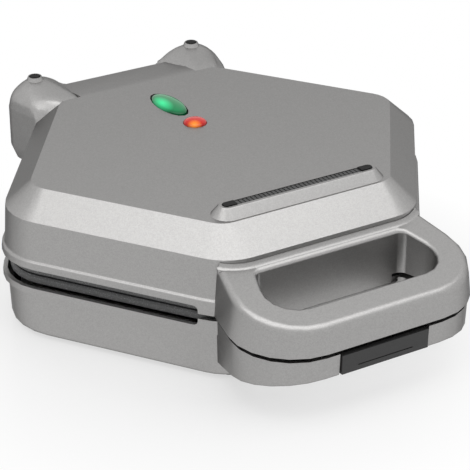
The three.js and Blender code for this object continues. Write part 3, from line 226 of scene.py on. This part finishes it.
def bump(tree, shader, height, depth):
    made = add(tree, "ShaderNodeBump", {"Height": height, "Distance": depth, "Strength": 1.0})
    tree.links.new(made.outputs["Normal"], shader.inputs["Normal"])


def grey(level, warmth=0.0):
    return (level * (1 + warmth), level, level * (1 - warmth), 1.0)


def feed(tree, shader, **sources):
    for key, value in sources.items():
        put(tree, shader.inputs[key.replace("_", " ")], value)


def seen_by(tree, *kinds):
    """1 for a ray of one of these kinds, else 0."""
    path = add(tree, "ShaderNodeLightPath")
    seen = path.outputs[kinds[0]]
    for kind in kinds[1:]:
        seen = calculate(tree, "MAXIMUM", seen, path.outputs[kind])
    return seen


# Materials

def silver_plastic():
    """Satin silver-grey paint with a fine metallic fleck, darker at a grazing angle."""
    made, tree, shader = material("silver_plastic_look")
    fleck = cells(tree, 0.5 * MM)
    cloud = noise(tree, 22 * MM)
    fine = blend_colours(tree, fleck, grey(0.335, 0.012), grey(0.40, 0.012))
    colour = blend_colours(tree, spread(tree, cloud, 0.0, 0.3), fine, grey(0.365, 0.02))
    roughness = spread(tree, cells(tree, 0.45 * MM), 0.31, 0.39)
    feed(tree, shader, Base_Color=colour, Roughness=roughness, Metallic=0.9)
    feed(tree, shader, Specular_Tint=grey(0.26))
    bump(tree, shader, noise(tree, 0.3 * MM), 0.005 * MM)
    return made


# Surfaces that vary by noise alone. tone, gloss and relief are the noise's size in mm and its detail,
# with the two colours, the two roughnesses and the depth in mm; values are set as they are.
GRAINED = {
    "black_rubber": {
        "tone": (2, 4.0, grey(0.010), grey(0.022)),
        "gloss": (1, 2.0, 0.6, 0.85),
        "relief": (0.25, 2.0, 0.03),
        "values": {"Specular_IOR_Level": 0.16},
    },
    "grey_plastic": {
        "tone": (0.6, 3.0, grey(0.034), grey(0.056)),
        "gloss": (3, 2.0, 0.38, 0.52),
        "relief": (0.3, 3.0, 0.02),
        "values": {"Specular_IOR_Level": 0.35},
    },
    "black_plastic": {
        "tone": (0.8, 3.0, grey(0.010), grey(0.020)),
        "gloss": (4, 2.0, 0.5, 0.65),
        "relief": (0.4, 3.0, 0.04),
        "values": {"Specular_IOR_Level": 0.2},
    },
    "element_tube": {
        "tone": (14, 3.0, (0.13, 0.10, 0.085, 1), (0.24, 0.22, 0.21, 1)),
        "gloss": (2, 4.0, 0.42, 0.62),
        "relief": (0.6, 4.0, 0.03),
        "values": {"Metallic": 0.9},
    },
    "bright_steel": {
        "tone": (1.5, 3.0, (0.50, 0.51, 0.52, 1), (0.62, 0.62, 0.60, 1)),
        "gloss": (0.5, 2.0, 0.25, 0.4),
        "relief": (0.2, 2.0, 0.008),
        "values": {"Metallic": 1.0},
    },
    "clear_glass": {
        "tone": (3, 2.0, grey(0.9, 0.02), grey(0.8, 0.04)),
        "gloss": (2, 2.0, 0.02, 0.1),
        "relief": (1, 2.0, 0.01),
        "values": {"Transmission_Weight": 1.0},
    },
}


def grained(name, tone, gloss, relief, values):
    made, tree, shader = material(f"{name}_look")
    size, detail, first, second = tone
    colour = blend_colours(tree, noise(tree, size * MM, detail), first, second)
    size, detail, low, high = gloss
    roughness = spread(tree, noise(tree, size * MM, detail), low, high)
    feed(tree, shader, Base_Color=colour, Roughness=roughness, **values)
    size, detail, depth = relief
    bump(tree, shader, noise(tree, size * MM, detail), depth * MM)
    return made


def coated_plate():
    """Dark non-stick coating with a light fleck and faint rubbed patches."""
    made, tree, shader = material("coated_plate_look")
    fleck = spread(tree, cells(tree, 0.4 * MM), 0.0, 1.0, 0.86, 0.95)
    worn = spread(tree, noise(tree, 25 * MM, 4.0), 0.0, 0.35, 0.45, 0.75)
    dark = blend_colours(tree, worn, grey(0.10, -0.01), grey(0.14, -0.01))
    colour = blend_colours(tree, fleck, dark, grey(0.24))
    roughness = spread(tree, noise(tree, 6 * MM, 3.0), 0.38, 0.55)
    feed(tree, shader, Base_Color=colour, Roughness=roughness, Metallic=0.1)
    bump(tree, shader, noise(tree, 0.5 * MM, 3.0), 0.03 * MM)
    return made


def sheet_metal():
    """Mill-finish sheet, with the fine lines of rolling along x."""
    made, tree, shader = material("sheet_metal_look")
    rolled = noise(tree, 0.4 * MM, 3.0, (0.03, 1.0, 1.0))
    colour = blend_colours(tree, rolled, grey(0.52), grey(0.66))
    feed(tree, shader, Base_Color=colour, Roughness=spread(tree, rolled, 0.28, 0.46), Metallic=1.0)
    bump(tree, shader, rolled, 0.01 * MM)
    return made


def white_ceramic():
    """Off-white ceramic with small darker pores."""
    made, tree, shader = material("white_ceramic_look")
    pores = spread(tree, cells(tree, 0.4 * MM), 0.0, 1.0, 0.94, 0.97)
    body = blend_colours(tree, noise(tree, 8 * MM), (0.80, 0.76, 0.69, 1), (0.74, 0.70, 0.63, 1))
    colour = blend_colours(tree, pores, body, (0.5, 0.46, 0.4, 1))
    feed(tree, shader, Base_Color=colour, Roughness=spread(tree, noise(tree, 2 * MM), 0.6, 0.8))
    bump(tree, shader, noise(tree, 0.4 * MM), 0.03 * MM)
    return made


# The bright spot of the lamp's painted glow is given from the lens's middle, as shares of its half
# width and half length
GREEN_LENS = {
    "spot": (-0.5, 0.0, 0.0),
    "rim_shade": (0.0, 0.04, 0.015, 1),
    "body": (0.0, 0.28, 0.09, 1),
    "glow_core": (0.02, 0.6, 0.22, 1),
    "hot": (0.03, 0.9, 0.36, 1),
}
ORANGE_LENS = {
    "spot": (-0.4, -0.6, 0.0),
    "rim_shade": (0.34, 0.004, 0.006, 1),
    "body": (0.74, 0.02, 0.012, 1),
    "glow_core": (0.95, 0.22, 0.02, 1),
    "hot": (1.0, 0.42, 0.03, 1),
}


def lens_material(name, node, spot, rim_shade, body, glow_core, hot):
    """Clear coloured plastic, with painted shade deepening its colour at the rim and a painted glow,
    brightest at a spot, where the lamp shines through.
    """
    made, tree, shader = material(name)
    low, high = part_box(node)
    middle = (low + high) / 2
    half = (high - low) / 2
    point = add(tree, "ShaderNodeMapping", {
        "Vector": surface_point(tree),
        "Location": (-middle.x / half.x, -middle.y / half.y, 0.0),
        "Scale": (1 / half.x, 1 / half.y, 0.0),
    }).outputs["Vector"]
    swirl = noise(tree, 4 * MM, 3.0)
    # Painted shade darkens the colour towards the rim; a painted glow lightens it and adds emission
    # round the spot
    edge = spread(tree, distance(tree, point, (0.0, 0.0, 0.0)), 0.0, 1.0, 0.66, 0.92)
    glow = spread(tree, distance(tree, point, spot), 1.0, 0.0, 0.05, 0.55)
    inner = blend_colours(tree, glow, body, glow_core)
    colour = blend_colours(tree, edge, inner, rim_shade)
    mottled = blend_colours(tree, spread(tree, swirl, 0.0, 0.2, 0.45, 0.8), colour, body)
    feed(tree, shader, Base_Color=mottled, Roughness=spread(tree, swirl, 0.05, 0.1))
    feed(tree, shader, Specular_IOR_Level=0.3, Emission_Strength=0.4)
    feed(tree, shader, Emission_Color=blend_colours(tree, glow, (0, 0, 0, 1), hot))
    bump(tree, shader, noise(tree, 1.5 * MM), 0.01 * MM)
    return made


LOOKS = {
    "silver_plastic": silver_plastic(),
    "coated_plate": coated_plate(),
    "sheet_metal": sheet_metal(),
    "white_ceramic": white_ceramic(),
    "green_lens": lens_material("green_lens_look", "ready_lens", **GREEN_LENS),
    "orange_lens": lens_material("orange_lens_look", "power_lens", **ORANGE_LENS),
}
for look, recipe in GRAINED.items():
    LOOKS[look] = grained(look, **recipe)

SLOTS = {
    name: node.data.materials[0].name.split(".")[0]
    for name, node in frame["nodes"].items()
}


# Pieces that stand for a node

def turn(edge):
    """The angle in degrees between the two faces at an edge."""
    return math.degrees(edge.calc_face_angle(0.0))


def smooth(piece):
    shape = bmesh.new()
    shape.from_mesh(piece.data)
    for face in shape.faces:
        face.smooth = True
    for edge in shape.edges:
        edge.smooth = edge.is_manifold and turn(edge) < SHARP_TURN
    shape.to_mesh(piece.data)
    shape.free()
    weigh = piece.modifiers.new("weigh", "WEIGHTED_NORMAL")
    weigh.keep_sharp = True
    weigh.weight = NORMAL_WEIGHT


def stand_in(node, ending, corners, faces):
    """Makes a piece of these corners and faces and puts it in the node's place."""
    name = f"{node}_{ending}"
    mesh = bpy.data.meshes.new(name)
    mesh.from_pydata(corners, [], faces)
    piece = bpy.data.objects.new(name, mesh)
    bpy.context.scene.collection.objects.link(piece)
    piece.data.materials.append(LOOKS[SLOTS[node]])
    smooth(piece)
    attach(piece, frame["nodes"][node]["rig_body"])
    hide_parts(node)


# Finished copies of the moulded pieces, with rounded edges

def welded(node):
    """The node's solid as a mesh with shared corners and whole flat faces."""
    made = bmesh.new()
    made.from_mesh(frame["nodes"][node].data)
    bmesh.ops.remove_doubles(made, verts=made.verts, dist=WELD)
    bmesh.ops.dissolve_limit(made, angle_limit=FLAT_ANGLE, verts=made.verts, edges=made.edges)
    return made


def round_edges(shape, picked, radius, segments):
    edges = [edge for edge in shape.edges if edge.is_manifold and picked(edge)]
    if edges:
        bmesh.ops.bevel(shape, geom=edges, offset=radius, offset_type="OFFSET", segments=segments,
                        profile=0.5, affect="EDGES", clamp_overlap=True, material=-1)


def soften(shape, picked):
    """Divides the picked faces into small ones and evens them out, with their border left in place."""
    for face in shape.faces:
        face.material_index = int(picked(face))

    def patch():
        return [face for face in shape.faces if face.material_index]

    def inside(part):
        return all(face.material_index for face in part.link_faces)

    bmesh.ops.triangulate(shape, faces=patch())
    for _ in range(EVEN_DIVISIONS):
        edges = [edge for edge in shape.edges if edge.calc_length() > EVEN_LONGEST and inside(edge)]
        bmesh.ops.subdivide_edges(shape, edges=edges, cuts=1)
        bmesh.ops.triangulate(shape, faces=patch())
    inner = [vert for vert in shape.verts if inside(vert)]
    for _ in range(EVEN_PASSES):
        bmesh.ops.smooth_vert(shape, verts=inner, factor=EVEN_FACTOR,
                              use_axis_x=True, use_axis_y=True, use_axis_z=True)


def finished(node, rules, softened=None):
    """Each rule has a test for the edges that it rounds, their radius and the number of steps."""
    shape = welded(node)
    for picked, radius, segments in rules:
        round_edges(shape, picked, radius, segments)
    if softened:
        soften(shape, softened)
    shape.verts.index_update()
    corners = [vert.co.copy() for vert in shape.verts]
    faces = [[vert.index for vert in face.verts] for face in shape.faces]
    shape.free()
    stand_in(node, "finished", corners, faces)


def lid_creases(edge):
    """The two creases of the chamfer round the top face."""
    low, high = sorted(face.normal.z for face in edge.link_faces)
    flattest, steepest = CHAMFER_SLOPES
    upper = flattest < low < steepest and high > LEVEL_SLOPE
    lower = abs(low) < UPRIGHT_SLOPE and flattest < high < steepest
    return edge.is_convex and turn(edge) > CHAMFER_TURN and (upper or lower)


def rim_edges(level):
    """The edges of a casing's rim at one height, outside and inside."""
    def picked(edge):
        at_level = all(abs(vert.co.z - level) < RIM_TOLERANCE for vert in edge.verts)
        sharp = edge.is_convex and turn(edge) > RIM_TURN
        return at_level and sharp and edge.calc_length() > RIM_SHORTEST
    return picked


def button_edges(edge):
    """Sharp outward edges between faces that are not the walls of small holes."""
    large_faces = all(face.calc_area() > BUTTON_LEAST_AREA for face in edge.link_faces)
    sharp = edge.is_convex and turn(edge) > BUTTON_TURN
    return sharp and large_faces and edge.calc_length() > BUTTON_SHORTEST


def on_dome(face):
    """The outer faces of the two domes, below their collars."""
    middle = (CAP[0] + CAP[1]) / 2
    spot = face.calc_center_median()
    rise = spot.z - DOME_SHOULDER + DOME_CORE_DROP
    away = Vector((abs(spot.x) - abs(middle.x), spot.y - middle.y, rise))
    facing = Vector((face.normal.x * (1 if spot.x > 0 else -1), face.normal.y, face.normal.z))
    near = abs(away.x) < DOME_HALF.x and abs(away.y) < DOME_HALF.y
    return near and DOME_SHOULDER < spot.z < DOME_TOP and facing.dot(away) > 0


lid_rim = rim_edges(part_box("lid_shell")[0].z)
base_rim = rim_edges(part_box("lower_handle")[1].z)

finished("lid_shell", [
    (lid_creases, CHAMFER_ROUND, CHAMFER_STEPS),
    (lid_rim, SHELL_RIM_ROUND, EDGE_STEPS),
], on_dome)
finished("upper_handle", [(lid_rim, HANDLE_RIM_ROUND, EDGE_STEPS)])
finished("lower_handle", [(base_rim, HANDLE_RIM_ROUND, EDGE_STEPS)])
finished("base_shell", [(base_rim, SHELL_RIM_ROUND, EDGE_STEPS)])
finished("latch_button", [(button_edges, BUTTON_ROUND, EDGE_STEPS)])


# Lenses and caps turned with fine steps

def turned(node, profile, steps):
    """Turns a profile of (share of half width, height) about a piece's upright middle line."""
    low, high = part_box(node)
    middle = (low + high) / 2
    half = (high - low) / 2
    corners = []
    faces = []
    for share, height in profile:
        for step in range(steps):
            angle = 2 * math.pi * step / steps
            corners.append((middle.x + half.x * share * math.cos(angle),
                            middle.y + half.y * share * math.sin(angle), height))
    for level in range(len(profile) - 1):
        for step in range(steps):
            here = level * steps + step
            after = level * steps + (step + 1) % steps
            faces.append((here, after, after + steps, here + steps))
    faces.append(tuple(reversed(range(steps))))
    faces.append(tuple((len(profile) - 1) * steps + step for step in range(steps)))
    stand_in(node, "turned", corners, faces)


def turn_lens(node):
    """A lens: its flange below, a short wall and the dome."""
    low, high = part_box(node)
    flange = low.z + LENS_FLANGE_HEIGHT
    face = high.z - LENS_RISE
    rim = 1 - 2 * LENS_FLANGE / (high.x - low.x)
    profile = [(1.0, low.z), (1.0, flange), (rim, flange), (rim, face)]
    for ring in range(1, LENS_RINGS):
        angle = math.pi / 2 * ring / LENS_RINGS
        profile.append((rim * math.cos(angle), face + LENS_RISE * math.sin(angle)))
    profile.append((TIP, high.z))
    turned(node, profile, LENS_STEPS)


def turn_cap(node):
    """A rubber cap with a rounded edge."""
    low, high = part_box(node)
    share = CAP_EDGE / ((high.x - low.x) / 2)
    profile = [(1.0, low.z), (1.0, high.z - CAP_EDGE)]
    for ring in range(1, CAP_RINGS + 1):
        angle = math.pi / 2 * ring / CAP_RINGS
        drop = CAP_EDGE * (1 - math.sin(angle))
        profile.append((1 - share * (1 - math.cos(angle)), high.z - drop))
    profile.append((TIP, high.z))
    turned(node, profile, CAP_STEPS)


for lens in ("ready_lens", "power_lens"):
    turn_lens(lens)
for side in ("left", "right"):
    turn_cap(f"dome_cap_{side}")

for name, node in frame["nodes"].items():
    if not node.hide_render:
        node.data.materials[0] = LOOKS[SLOTS[name]]


# Stage and light

def floor_material():
    """White floor that keeps the object's shadow near it and is plain white farther out."""
    made, tree, shader = material("floor")
    feed(tree, shader, Base_Color=grey(0.9), Roughness=0.25, Specular_IOR_Level=0.3)
    out = distance(tree, surface_point(tree), SHADOW_CENTRE)
    plain = spread(tree, out, NEAR_WHITE_SHARE, 1.0, SHADOW_START, SHADOW_END)
    along = add(tree, "ShaderNodeSeparateXYZ", {"Vector": surface_point(tree)}).outputs["Y"]
    behind = spread(tree, along, WHITE, REFLECTION_BACK, REFLECTION_START, REFLECTION_END)
    mirrored = seen_by(tree, "Is Glossy Ray", "Is Transmission Ray")
    camera = seen_by(tree, "Is Camera Ray")
    level = calculate(tree, "MAXIMUM", camera, behind)
    share = calculate(tree, "MAXIMUM", calculate(tree, "MULTIPLY", camera, plain), mirrored)
    white = add(tree, "ShaderNodeEmission", {"Strength": level})
    mix = add(tree, "ShaderNodeMixShader", {0: share, 1: shader.outputs[0], 2: white.outputs[0]})
    put(tree, tree.nodes["Material Output"].inputs["Surface"], mix.outputs[0])
    return made


def make_floor():
    mesh = bpy.data.meshes.new("floor")
    half = FLOOR_HALF
    corners = [(-half, -half, 0), (half, -half, 0), (half, half, 0), (-half, half, 0)]
    mesh.from_pydata(corners, [], [(0, 1, 2, 3)])
    floor = bpy.data.objects.new("floor", mesh)
    floor.data.materials.append(floor_material())
    bpy.context.scene.collection.objects.link(floor)


def make_world():
    """White where it is seen, directly or in gloss and glass, and dimmer as light on the object."""
    world = bpy.data.worlds.new("studio")
    bpy.context.scene.world = world
    world.use_nodes = True
    tree = world.node_tree
    back = tree.nodes["Background"]
    seen = seen_by(tree, "Is Camera Ray", "Is Glossy Ray", "Is Transmission Ray")
    put(tree, back.inputs["Strength"], spread(tree, seen, FILL, WHITE))
    put(tree, back.inputs["Color"], grey(1.0))


def make_softbox():
    """A rectangular softbox that faces straight down."""
    data = bpy.data.lights.new("overhead", "AREA")
    data.shape = "RECTANGLE"
    data.size = SOFTBOX_WIDTH
    data.size_y = SOFTBOX_DEPTH
    data.energy = SOFTBOX_POWER
    lamp = bpy.data.objects.new("overhead", data)
    lamp.location = SOFTBOX_PLACE
    lamp.rotation_euler = (0.0, 0.0, SOFTBOX_TURN)
    bpy.context.scene.collection.objects.link(lamp)


place_camera()
make_floor()
make_world()
make_softbox()

bpy.context.scene.view_settings.view_transform = "Standard"
